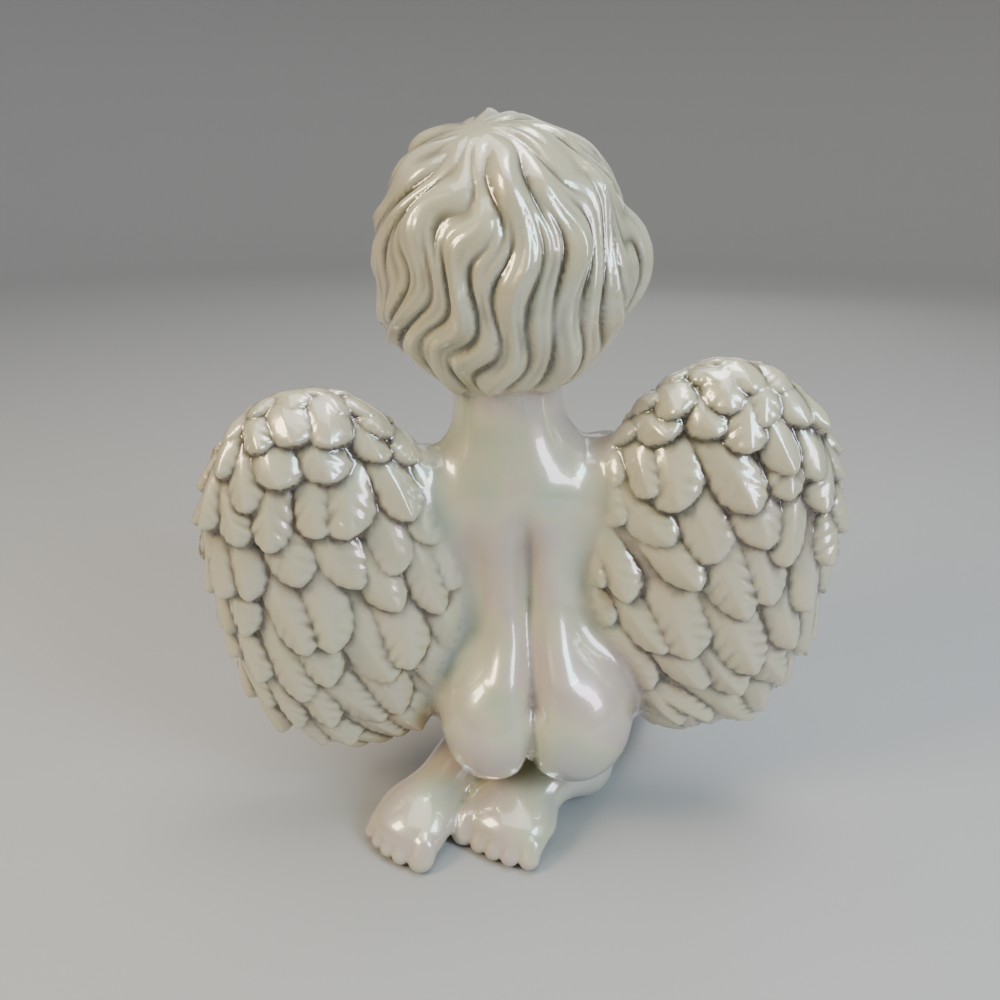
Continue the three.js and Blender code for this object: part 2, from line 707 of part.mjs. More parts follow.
class Heap {
  constructor() {
    this.items = [];
  }
  get size() {
    return this.items.length;
  }
  push(item) {
    const items = this.items;
    let n = items.length;
    items.push(item);
    while (n > 0) {
      const parent = (n - 1) >> 1;
      if (items[parent].cost <= item.cost) break;
      items[n] = items[parent];
      n = parent;
    }
    items[n] = item;
  }
  pop() {
    const items = this.items;
    const top = items[0];
    const last = items.pop();
    if (items.length) {
      let n = 0;
      for (;;) {
        let child = 2 * n + 1;
        if (child >= items.length) break;
        if (child + 1 < items.length && items[child + 1].cost < items[child].cost) child++;
        if (items[child].cost >= last.cost) break;
        items[n] = items[child];
        n = child;
      }
      items[n] = last;
    }
    return top;
  }
}

// Solids
const wasm = await Module();
wasm.setup();

function solidFromMesh({ points, triangles }) {
  const used = new Map();
  const vertices = [];
  for (const f of triangles)
    for (const v of f)
      if (!used.has(v)) {
        used.set(v, used.size);
        vertices.push(...points[v]);
      }
  return new wasm.Manifold(new wasm.Mesh({
    numProp: 3,
    vertProperties: new Float32Array(vertices),
    triVerts: new Uint32Array(triangles.flat().map((v) => used.get(v))),
  }));
}

function solidFromGeometry(geometry) {
  geometry.deleteAttribute("normal");
  geometry.deleteAttribute("uv");
  const merged = mergeVertices(geometry);
  return new wasm.Manifold(new wasm.Mesh({
    numProp: 3,
    vertProperties: new Float32Array(merged.attributes.position.array),
    triVerts: new Uint32Array(merged.index.array),
  }));
}

function geometryOf(solid) {
  const mesh = solid.getMesh();
  const geometry = new THREE.BufferGeometry();
  geometry.setAttribute("position", new THREE.BufferAttribute(mesh.vertProperties, 3));
  geometry.setIndex(new THREE.BufferAttribute(mesh.triVerts, 1));
  geometry.computeVertexNormals();
  return geometry;
}

const cast = figure();
const room = roomAround(cast, mm(6));
room.low[2] = -mm(2 * GRID_STEP);
const raw = meshField(cast, room.low, room.high, mm(GRID_STEP));
const thinned = thin(raw, TRIANGLE_BUDGET);
const below = new THREE.BoxGeometry(FIGURE_HEIGHT * 2, FIGURE_HEIGHT * 2, FIGURE_HEIGHT);
below.translate(0, 0, -FIGURE_HEIGHT / 2);
const rested = solidFromMesh(thinned).subtract(solidFromGeometry(below));
const pieces = rested.decompose().sort((a, b) => b.volume() - a.volume());

const glaze = new THREE.MeshStandardMaterial({ color: 0xe4ddcc, roughness: 0.14, metalness: 0 });
const figurine = new THREE.Mesh(geometryOf(pieces[0]), glaze);
figurine.name = "angel_figurine";

const part = new THREE.Group();
part.add(figurine);

export default part;
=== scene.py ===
"""A kneeling winged child in glazed porcelain, cast in one piece with a mother-of-pearl lustre.

The casting is refined from its own solid: the solid's surface is meshed finely, laid onto the
smooth forms of the figure, and then carved with feathers and locks of hair. Lengths are in
shares of the figure's height unless a name says metres; a share is one millimetre here.
"""
import math

import bmesh
import bpy
import numpy as np
from mathutils import Matrix, Vector


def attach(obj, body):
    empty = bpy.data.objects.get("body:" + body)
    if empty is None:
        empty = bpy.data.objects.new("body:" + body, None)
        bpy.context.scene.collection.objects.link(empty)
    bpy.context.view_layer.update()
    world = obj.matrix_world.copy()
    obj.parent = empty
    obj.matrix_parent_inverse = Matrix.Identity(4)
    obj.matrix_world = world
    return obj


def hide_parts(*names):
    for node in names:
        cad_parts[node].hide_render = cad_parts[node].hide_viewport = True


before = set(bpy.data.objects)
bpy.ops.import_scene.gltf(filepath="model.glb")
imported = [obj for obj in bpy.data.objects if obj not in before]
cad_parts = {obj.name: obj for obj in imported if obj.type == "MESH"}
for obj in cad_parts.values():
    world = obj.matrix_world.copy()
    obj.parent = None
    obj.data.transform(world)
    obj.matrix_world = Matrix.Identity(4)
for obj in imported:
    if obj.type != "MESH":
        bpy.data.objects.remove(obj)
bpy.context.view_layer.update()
NODE = "angel_figurine"

SHARE = 0.001

# Head
HEAD_CENTRE = (-5, 4, 199)
HEAD_ROLL = 6
HEAD_TURN = 8
HEAD_LIFT = 4
HAIR_RADII = (39.5, 39, 39.5)
CROWN_ELEVATION = 66
LOCK_HEIGHT = 4.8
LOCK_LENGTH = 36
LOCK_WAVE = 3.6
LOCKS_AT_CROWN = 7
LOCK_SPLIT = (40, 70)

# Wings
WING_BACK_DEPTH = 21
WING_FRONT_DEPTH = 9
FEATHER_HEIGHT = 6
FRONT_FEATHER_SHARE = 0.45
FEATHER_WIDTH = 11
TOP_ROW_STEP = 8.5
BOTTOM_ROW_STEP = 20
CHART_REACH = 1.2
LEFT_WING = dict(
    centre=(-58.8, -13, 96.5), half=(45, 70), lean=-8, sweep=7, side=-1,
    upper=(1.9, 2.2), lower=(2.2, 3.1),
)
RIGHT_WING = dict(
    centre=(61.2, -13, 104.8), half=(43.2, 70.5), lean=3, sweep=-7, side=1,
    upper=(1.9, 2.25), lower=(2.2, 2.6),
)

# Limbs
THIGH_RADIUS = 20
CALF_RADIUS = 14
ANKLE_RADIUS = 10.5
FOOT_TURN = 30
FOOT_LENGTH = 46
TOE_RADIUS = 2.9

# Carving: masses are sunk by this share of their relief's height, so that it straddles their
# surface. The relief fades out over a joint, and the barbs of a feather are this far apart.
SUNK_SHARE = 0.45
RELIEF_FADE = 2.5
BARB_STEP = 4.2

# Meshing: the edge of a voxel, and the most triangles kept.
COARSE_EDGE = 1.6
MOST_TRIANGLES = 190000

# Painted shade: the glaze is darkened in hollows, fully where the surface lies this far under the
# evened-out relief.
SHADE_DEPTH = 0.65
SHADE_ROUNDS = 20

# Camera: its place in metres, how far it looks down, and its focal length in widths of the image.
CAMERA_PLACE = (-0.006, -0.240, 0.2265)
CAMERA_PITCH = 24
CAMERA_FOCAL = 0.751


# Forms: each is a function of points (rows of x, y, z) that is negative inside.

def length_of(v):
    return np.sqrt(np.einsum("ij,ij->i", v, v))


def ellipsoid(centre, radii):
    c = np.array(centre, float)
    r = np.array(radii, float)

    def form(p):
        q = (p - c) / r
        near = length_of(q)
        slope = np.maximum(length_of(q / r), 1e-9)
        return near * (near - 1) / slope
    return form


def limb(start, end, start_radius, end_radius):
    a = np.array(start, float)
    run = np.array(end, float) - a

    def form(p):
        t = np.clip((p - a) @ run / (run @ run), 0, 1)
        return length_of(p - a - t[:, None] * run) - (start_radius + (end_radius - start_radius) * t)
    return form


def soft_min(a, b, reach):
    h = np.maximum(reach - np.abs(a - b), 0) / reach
    return np.minimum(a, b) - h * h * reach / 4


def blend(reach, *forms):
    """Joins forms with a fillet of about the given reach."""
    def form(p):
        d = forms[0](p)
        for other in forms[1:]:
            d = soft_min(d, other(p), reach)
        return d
    return form


def carve(reach, form, *tools):
    """Takes forms out of another, with a soft edge."""
    def carved(p):
        d = form(p)
        for tool in tools:
            d = -soft_min(-d, tool(p), reach)
        return d
    return carved


def fade(start, end, v):
    """A smooth step from 0 to 1 between two values."""
    t = np.clip((v - start) / (end - start), 0, 1)
    return t * t * (3 - 2 * t)


def groove(form, start, end, width, depth):
    """Sinks a groove into the back of a form along a line given by x and z. A negative depth
    raises a ridge."""
    a = np.array(start, float)
    run = np.array(end, float) - a

    def grooved(p):
        flat = p[:, [0, 2]]
        t = np.clip((flat - a) @ run / (run @ run), 0, 1)
        away = length_of(flat - a - t[:, None] * run)
        return form(p) + depth * np.exp(-((away / width) ** 2)) * fade(0, 0.4, t) * fade(0, 12, -p[:, 1])
    return grooved


def turning(roll, lift, turn):
    return np.array(
        Matrix.Rotation(math.radians(turn), 3, "Z")
        @ Matrix.Rotation(math.radians(lift), 3, "X")
        @ Matrix.Rotation(math.radians(roll), 3, "Y")
    )


def into(p, centre, turned):
    return (p - np.array(centre, float)) @ turned


# Head

HEAD_TURNED = turning(-HEAD_ROLL, HEAD_LIFT, -HEAD_TURN)


def hair_mass():
    mass = blend(
        6,
        ellipsoid((0, -2, 2), HAIR_RADII),
        ellipsoid((0.5, -7, -11), (37, 30, 29.5)),
        ellipsoid((35.5, 1, -4), (7.5, 10, 14)),
        ellipsoid((-36, 4, -14), (7, 9, 8)),
    )
    return lambda p: mass(p) + LOCK_HEIGHT * SUNK_SHARE


def face():
    def pair(make):
        return make(-1), make(1)
    flesh = blend(
        7,
        ellipsoid((0, 8, -7), (29, 27, 31)),
        *pair(lambda side: ellipsoid((side * 14, 22, -21), (13.5, 12.5, 12.5))),
        ellipsoid((0, 25, -33.5), (9, 9, 7)),
        ellipsoid((0, 20, 6), (22, 15, 14)),
    )
    sockets = carve(4, flesh, *pair(lambda side: ellipsoid((side * 11.5, 36, -8), (8, 6, 6.5))))
    return blend(
        2,
        sockets,
        *pair(lambda side: ellipsoid((side * 11.5, 27.5, -8.5), (6.8, 6, 5))),
        limb((0, 34, -7), (0, 38.5, -17), 2.6, 3.9),
        *pair(lambda side: ellipsoid((side * 3.4, 36, -18), (2.7, 3, 2.6))),
        limb((-4, 34.5, -24.8), (4, 34.5, -24.8), 2, 2),
        limb((-3, 34, -27.6), (3, 34, -27.6), 2.3, 2.3),
        *pair(lambda side: ellipsoid((side * 33, -1, -11), (4.5, 6.5, 9.5))),
    )


def head():
    hair = carve(3, hair_mass(), ellipsoid((0, 40, -15), (24.5, 24, 26)))
    whole = blend(1.6, hair, face())
    return lambda p: whole(into(p, HEAD_CENTRE, HEAD_TURNED))


# Wings

def wing_turned(spec):
    return turning(spec["lean"], 0, spec["sweep"])


def wing_flat(spec, local):
    """How far out a point is across the wing: 1 is the outline. Each quarter has its squareness."""
    x, z = local[:, 0] / spec["half"][0], local[:, 2] / spec["half"][1]
    outer = x * spec["side"] > 0
    n = np.where(
        z > 0,
        np.where(outer, spec["upper"][1], spec["upper"][0]),
        np.where(outer, spec["lower"][1], spec["lower"][0]),
    )
    return (np.abs(x) ** n + np.abs(z) ** n) ** (1 / n)


def wing_depth(local):
    return np.where(local[:, 1] < 0, WING_BACK_DEPTH, WING_FRONT_DEPTH)


def feather_fade(local):
    front = np.maximum(FRONT_FEATHER_SHARE, 1 - 2 * local[:, 1] / wing_depth(local))
    return np.where(local[:, 1] < 0, 1, front)


def wing(spec):
    turned = wing_turned(spec)
    half_width, half_height = spec["half"]

    def form(p):
        local = into(p, spec["centre"], turned)
        depth = wing_depth(local)
        near = np.hypot(wing_flat(spec, local), local[:, 1] / depth)
        slope = np.sqrt(
            (local[:, 0] / half_width**2) ** 2
            + (local[:, 1] / depth**2) ** 2
            + (local[:, 2] / half_height**2) ** 2
        )
        shell = near * (near - 1) / np.maximum(slope, 1e-9)
        return shell + feather_fade(local) * FEATHER_HEIGHT * SUNK_SHARE
    return form


# Body

def torso():
    trunk = blend(
        17,
        ellipsoid((5.5, -9, 48), (32.5, 26, 24)),
        ellipsoid((6.5, -11, 66), (25, 21, 22)),
        ellipsoid((6, 6, 76), (25, 24, 26)),
        ellipsoid((3.5, 0, 97), (23, 18, 25)),
        ellipsoid((0, 1, 117), (28, 20, 27)),
        limb((-29, -3, 124), (28, -3, 127), 12, 12),
    )
    neck = limb((-1, -4, 132), (-5, 0, 172), 18, 18)
    buttocks = blend(
        2.5,
        ellipsoid((-9, -28, 45.5), (16.5, 18, 20)),
        ellipsoid((20.5, -27, 46.5), (19.5, 19, 23)),
    )
    seated = blend(15, blend(15, trunk, neck), buttocks)
    left_muscle = groove(seated, (-8, 128), (-5, 70), 6, -1.8)
    muscles = groove(left_muscle, (11, 128), (15, 70), 6, -1.8)
    spine = groove(muscles, (1.2, 134), (5.5, 58), 3.6, 4.4)
    return groove(spine, (5.5, 66), (4, 26), 2.6, 2.6)


def leg(hip, knee, ankle, toe_centre, toe_radii):
    heel = (ankle[0], ankle[1], ankle[2] + 4)
    swept = math.radians(FOOT_TURN)
    back = (-math.sin(swept), -math.cos(swept))
    side = (-back[1], back[0])

    def at(along, across, height):
        return (
            toe_centre[0] + back[0] * along + side[0] * across,
            toe_centre[1] + back[1] * along + side[1] * across,
            height,
        )
    width = sum(1.85 * r for r in toe_radii)
    thigh = limb(hip, knee, THIGH_RADIUS, THIGH_RADIUS * 0.88)
    calf = limb((knee[0] - 1, knee[1] - 2, 13), ankle, CALF_RADIUS, ANKLE_RADIUS)
    sole = blend(
        5,
        ellipsoid((0, 13, 8.5), (width / 2 + 1, 13, 8.5)),
        ellipsoid((0, 5, 6), (width / 2, 7, 6)),
    )
    sole_turned = turning(0, 0, -FOOT_TURN)
    foot = blend(
        8,
        limb(heel, at(-FOOT_LENGTH * 0.4, 0, 10.5), 11.5, 8.5),
        lambda p: sole(into(p, (*toe_centre, 0), sole_turned)),
    )
    toes = []
    across = -width / 2
    for radius in toe_radii:
        across += radius * 0.93
        bow = 4.5 * (1 - (2 * across / width) ** 2)
        fat = radius * 1.12
        toes.append(limb(at(bow - 6, across * 0.97, 7.5), at(bow - 3, across, 4.2), fat, fat))
        across += radius * 0.92
    return thigh, calf, blend(0.8, foot, *toes)


def legs():
    small = TOE_RADIUS
    right = leg((23, -8, 42), (45, 34, 20), (26, -14, 12), (-8.5, -44.5),
                [small * k for k in (1.7, 1.15, 1.1, 1.15, 1.2)])
    left = leg((-7, -8, 42), (12, 40, 20), (-17, -7, 12), (-43, -45.5),
               [small * k for k in (0.85, 0.9, 0.95, 1.1, 1.5)])
    thighs = blend(6, right[0], left[0], ellipsoid((9, 7, 10), (27, 30, 14)))
    shins = blend(4, blend(2.5, right[1], left[1]), blend(1.5, right[2], left[2]))
    return thighs, shins


def arm(side, shoulder, elbow, wrist, fingertips):
    palm = [w + (f - w) * 0.36 for w, f in zip(wrist, fingertips)]
    x, y, z = palm
    tip_x, tip_y, tip_z = fingertips
    hand = blend(
        2.5,
        ellipsoid(palm, (4, 7.5, 9.5)),
        limb((x, y + 2.5, z + 5), fingertips, 3.2, 2.4),
        limb((x, y - 2.5, z + 5), (tip_x, tip_y - 4.5, tip_z - 3), 3.2, 2.4),
        limb((x + side, y - 6, z - 3), (x, y - 9, z + 6), 2.6, 2.1),
    )
    return blend(4, limb(shoulder, elbow, 13, 11), limb(elbow, wrist, 10.8, 6.8), hand)


def arms():
    left = arm(-1, (-33, 2, 126), (-33, 25, 97), (-7, 42, 113), (-5, 44, 146))
    right = arm(1, (31, 2, 131), (35, 25, 100), (3, 42, 113), (0.5, 44, 146))
    return blend(0.8, left, right)


def smooth_figure():
    thighs, shins = legs()
    kneeling = blend(1.8, blend(7, torso(), thighs), shins)
    winged = blend(11, blend(5, kneeling, arms()), wing(LEFT_WING), wing(RIGHT_WING))
    whole = blend(1.5, winged, head())
    return lambda p: np.maximum(whole(p), -p[:, 2])


# Carving: feathers are raised plumes that start level and rise to a free tip, and hair is wavy
# locks that run out from the crown.

def scatter(a, b):
    """A repeatable number from 0 to 1 for a pair of counters."""
    s = math.sin(a * 12.9898 + b * 78.233) * 43758.5453
    return s - math.floor(s)


def plume_height(a, b, plume):
    """Height over a feather at a, 0 to 1 along it, and b, -1 to 1 across it. Slanting barbs fray
    its edge and groove it on both sides of a raised shaft."""
    tip = plume["tip"]
    blunt = np.sqrt(np.clip(1 - (np.maximum(a - tip, 0) / (1 - tip)) ** 2, 0, 1))
    taper = np.where(a < tip, 0.8 + 0.2 * a / tip, blunt)
    barbs = np.cos(2 * math.pi * (a * plume["length"] / BARB_STEP - np.abs(b) * 1.6))
    edge = np.abs(b) / np.maximum(taper * (1 + 0.015 * barbs), 1e-6)
    climb = a**0.9 * np.minimum(1, 0.5 + 0.8 * taper)
    dome = np.clip(1 - edge * edge, 0, 1) ** 0.7
    shaft = 0.07 * np.exp(-((b / 0.13) ** 2))
    grooves = plume["barbs"] * (0.5 - 0.5 * barbs) * np.clip(np.abs(b) * 3 - 0.3, 0, 1)
    stroke = 0.97 + shaft - grooves * np.clip(a * 2 - 0.4, 0, 1)
    return np.where(edge < 1, plume["height"] * climb * dome * stroke, 0)


def raise_plumes(points, plumes):
    """The highest plume at each point of a flat chart."""
    height = np.zeros(len(points))
    for plume in plumes:
        from_root = points - plume["root"]
        a = from_root @ plume["along"] / plume["length"]
        b = from_root @ plume["across"]
        half = plume["width"] / 2
        near = np.nonzero((a > 0) & (a < 1) & (np.abs(b) < half * 1.1 + abs(plume["curl"])))[0]
        a, b = a[near], b[near]
        h = plume_height(a, (b - plume["curl"] * a * a) / half, plume)
        height[near] = np.maximum(height[near], h)
    return height


def feather_angle(side, outwards, t):
    """Which way a feather points, in degrees from straight down towards the figure's right."""
    low = min(max((0.35 - t) / 1.1, 0), 1)
    if side > 0:
        return 24 - 26 * outwards + 22 * low * (1 - max(0, outwards))
    return -8 * max(0, outwards) * (1 - low) + 34 * low


def feathers_of(spec):
    half_width, half_height = spec["half"]
    side = spec["side"]
    row_half = half_width * CHART_REACH
    feathers = []
    t = 1.12
    row = 0
    while t > -CHART_REACH:
        down = (CHART_REACH - t) / (2 * CHART_REACH)
        step = TOP_ROW_STEP + (BOTTOM_ROW_STEP - TOP_ROW_STEP) * down
        row_width = FEATHER_WIDTH * (0.8 + 0.25 * math.sin(math.pi * down) - 0.15 * down**3)
        count = round(2 * row_half / row_width)
        for k in range(-1, count + 1):
            own = [scatter(7 * row + n, k + 3 * n + side) - 0.5 for n in range(10)]
            share = (k + 0.5 + (0.25 if row % 2 else -0.25)) / count
            s = row_half * (2 * share - 1) + 5 * own[1]
            outwards = side * s / half_width
            inner = 1 - 0.2 * max(0, -outwards)
            angle = math.radians(feather_angle(side, outwards, t) + 26 * own[2])
            along = np.array((math.sin(angle), -math.cos(angle)))
            length = (step * 1.5 + 4) * (1 + 0.4 * own[3]) * inner
            middle = np.array((s, t * half_height + 0.5 * step * own[4]))
            crest = 1 - fade(0.62, 1.02, t) * 0.75
            shoulder = 1 - 0.8 * fade(0.35, 0.9, -outwards) * fade(-0.1, 0.5, t)
            feathers.append(dict(
                root=middle - along * length * 0.6,
                along=along,
                across=np.array((-along[1], along[0])),
                length=length,
                width=row_width * (1.2 + 0.4 * own[5]) * inner,
                height=FEATHER_HEIGHT * (0.95 + 0.4 * own[6]) * crest * shoulder,
                curl=side * (3 * down - 1) + 5 * own[7],
                tip=0.72 + 0.16 * own[8],
                barbs=0.07 + 0.14 * own[9],
            ))
        t -= step / half_height
        row += 1
    return feathers


def ridge(count, turn, along, seed):
    position = count * turn / (2 * math.pi)
    number = np.round(position)
    own = np.array([scatter(k + seed, count) for k in range(count)])[(number % count).astype(int)]
    swell = 0.68 + 0.32 * np.sin(2 * math.pi * (along / LOCK_LENGTH + own))
    return swell * (0.5 + 0.5 * np.cos(2 * math.pi * (position - number))) ** 1.4


def locks_of(count, turn, along):
    """Height over a ring of locks, 0 to 1. Each is a narrow ridge that swells and sinks along its
    length, with a lower ridge between it and the next."""
    between = ridge(count, turn + math.pi / count, along * 1.3, 40)
    return np.maximum(ridge(count, turn, along, 0), 0.62 * between)


def hair_relief(p):
    q = into(p, HEAD_CENTRE, HEAD_TURNED)
    radius = HAIR_RADII[0]
    elevation = math.radians(CROWN_ELEVATION)
    sine, cosine = math.sin(elevation), math.cos(elevation)
    x, y, z = q.T
    polar = np.arccos(np.clip((sine * z - cosine * y) / np.maximum(length_of(q), 1e-6), -1, 1))
    turn = np.arctan2(sine * y + cosine * z, x)
    along = radius * polar
    drift = 1.6 * np.sin(2 * turn) + 1.3 * np.sin(3 * turn + 1) + 0.4 * np.sin(5 * turn)
    sway = LOCK_WAVE * (0.8 + 0.35 * np.sin(3 * turn + 2)) * fade(0, 0.5, polar)
    wave = sway * np.sin(2 * math.pi * along / LOCK_LENGTH + drift)
    swept = turn + wave / np.maximum(radius * np.sin(polar), 9) + 0.35 * polar
    split = fade(math.radians(LOCK_SPLIT[0]), math.radians(LOCK_SPLIT[1]), polar)
    few = locks_of(LOCKS_AT_CROWN, swept, along)
    many = locks_of(2 * LOCKS_AT_CROWN, swept, along)
    strands = 0.05 * np.cos(2 * LOCKS_AT_CROWN * 5 * swept) * fade(0.5, 1, polar)
    centre = fade(0, 0.7, polar) * (1 - 0.6 * fade(1.75, 2.2, polar))
    return LOCK_HEIGHT * (SUNK_SHARE * (1 - centre) + centre * (few + (many - few) * split + strands))


def wing_relief(spec, p):
    local = into(p, spec["centre"], wing_turned(spec))
    depth = wing_depth(local)
    flat = wing_flat(spec, local)
    from_pole = np.arctan2(flat, np.abs(local[:, 1]) / depth) / (math.pi / 2)
    front = np.minimum(2 - from_pole, from_pole + 0.15)
    stretch = np.where(local[:, 1] < 0, from_pole, front)
    chart = local[:, [0, 2]] * (stretch / np.maximum(flat, 0.02))[:, None]
    return feather_fade(local) * raise_plumes(chart, feathers_of(spec))


# The casting

def gradient(form, p, step=0.05):
    """A form's value at each point, the unit direction in which it grows, and how fast."""
    here = form(p)
    slopes = [form(p + np.array(d) * step) - here for d in ((1, 0, 0), (0, 1, 0), (0, 0, 1))]
    g = np.stack(slopes, axis=1) / step
    return here, g / np.maximum(length_of(g), 1e-6)[:, None], np.maximum(length_of(g), 0.3)


def lay_onto(form, p, rounds):
    """Moves points along the slope of a form until they lie on its surface."""
    for _ in range(rounds):
        d, normal, slope = gradient(form, p)
        p = p - normal * np.clip(d / slope, -2.5, 2.5)[:, None]
    return p


def points_of(mesh):
    p = np.empty(len(mesh.vertices) * 3)
    mesh.vertices.foreach_get("co", p)
    return p.reshape(-1, 3) / SHARE


def set_points(mesh, p):
    mesh.vertices.foreach_set("co", (p * SHARE).ravel())
    mesh.update()


def even_out(mesh, p, share):
    """Moves each point, or each value, part of the way to the middle of its neighbours."""
    ends = np.empty(len(mesh.edges) * 2, int)
    mesh.edges.foreach_get("vertices", ends)
    a, b = ends.reshape(-1, 2).T
    total = np.zeros_like(p)
    np.add.at(total, a, p[b])
    np.add.at(total, b, p[a])
    count = np.bincount(ends, minlength=len(p))[:, None]
    return p + share * (total / count - p)


def fine_parts(p):
    """Where the mesh is made finer: the back of the wings, the head, the hands and the toes."""
    local = [into(p, s["centre"], wing_turned(s)) for s in (LEFT_WING, RIGHT_WING)]
    fine = length_of(p - np.array(HEAD_CENTRE)) < 52
    for form, here in zip((wing(LEFT_WING), wing(RIGHT_WING)), local):
        fine |= (np.abs(form(p)) < 2) & (here[:, 1] < 1)
    fine |= (p[:, 1] > 32) & (p[:, 2] > 100) & (p[:, 2] < 152)
    fine |= (p[:, 1] < -33) & (p[:, 2] < 22)
    return fine


def remeshed(source):
    """A closed, even mesh over a copy of the solid."""
    mesh = source.data.copy()
    bm = bmesh.new()
    bm.from_mesh(mesh)
    bmesh.ops.remove_doubles(bm, verts=bm.verts, dist=1e-6)
    bm.to_mesh(mesh)
    bm.free()
    piece = bpy.data.objects.new("figurine", mesh)
    bpy.context.scene.collection.objects.link(piece)
    voxels = piece.modifiers.new("voxels", "REMESH")
    voxels.mode = "VOXEL"
    voxels.voxel_size = COARSE_EDGE * SHARE
    graph = bpy.context.evaluated_depsgraph_get()
    piece.data = bpy.data.meshes.new_from_object(piece.evaluated_get(graph))
    piece.modifiers.clear()
    return piece


def refine(mesh, is_fine):
    """Splits the edges of every face whose corners are all in a fine part."""
    bm = bmesh.new()
    bm.from_mesh(mesh)
    edges = {e for f in bm.faces if all(is_fine[v.index] for v in f.verts) for e in f.edges}
    bmesh.ops.subdivide_edges(bm, edges=list(edges), cuts=1, use_grid_fill=True)
    bmesh.ops.triangulate(bm, faces=[f for f in bm.faces if len(f.verts) > 4])
    bm.to_mesh(mesh)
    bm.free()


def thinned(piece):
    """Drops triangles where the surface is smooth, down to the most a piece may have."""
    count = sum(len(face.vertices) - 2 for face in piece.data.polygons)
    thin = piece.modifiers.new("thin", "DECIMATE")
    thin.ratio = min(1, MOST_TRIANGLES / count)
    graph = bpy.context.evaluated_depsgraph_get()
    piece.data = bpy.data.meshes.new_from_object(piece.evaluated_get(graph))
    piece.modifiers.clear()
    piece.data.polygons.foreach_set("use_smooth", np.ones(len(piece.data.polygons), bool))
    return piece


def casting():
    """The solid laid onto the smooth figure and carved, with how deep its painted shade is and how plain
    it is there.
    """
    piece = remeshed(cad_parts[NODE])
    mesh = piece.data
    figure = smooth_figure()
    p = lay_onto(figure, points_of(mesh), 3)
    for _ in range(3):
        p = lay_onto(figure, even_out(mesh, p, 0.6), 1)
    set_points(mesh, p)
    refine(mesh, fine_parts(p))
    p = lay_onto(figure, points_of(mesh), 2)

    whole, normal, _ = gradient(figure, p)
    in_head = into(p, HEAD_CENTRE, HEAD_TURNED)
    masses = [(hair_mass()(in_head), hair_relief(p))]
    for spec in (LEFT_WING, RIGHT_WING):
        masses.append((wing(spec)(p), wing_relief(spec, p)))
    rise = np.zeros(len(p))
    plain = np.ones(len(p))
    for distance, relief in masses:
        share = np.clip(1 - np.abs(distance - whole) / RELIEF_FADE, 0, 1)
        rise += relief * share
        plain = np.minimum(plain, 1 - share)
    around = rise[:, None]
    # Painted shade: how far each point lies under the evened-out relief, weaker on plain parts.
    for _ in range(SHADE_ROUNDS):
        around = even_out(mesh, around, 0.8)
    recess_shade = np.clip((around[:, 0] - rise) / SHADE_DEPTH, 0, 1) * (1 - 0.7 * plain)
    p = p + normal * rise[:, None]
    p[:, 2] = np.maximum(p[:, 2], 0)
    set_points(mesh, p)
    mesh.attributes.new("recess_shade", "FLOAT", "POINT").data.foreach_set("value", recess_shade)
    mesh.attributes.new("plain", "FLOAT", "POINT").data.foreach_set("value", plain)
    return thinned(piece)


# Finish

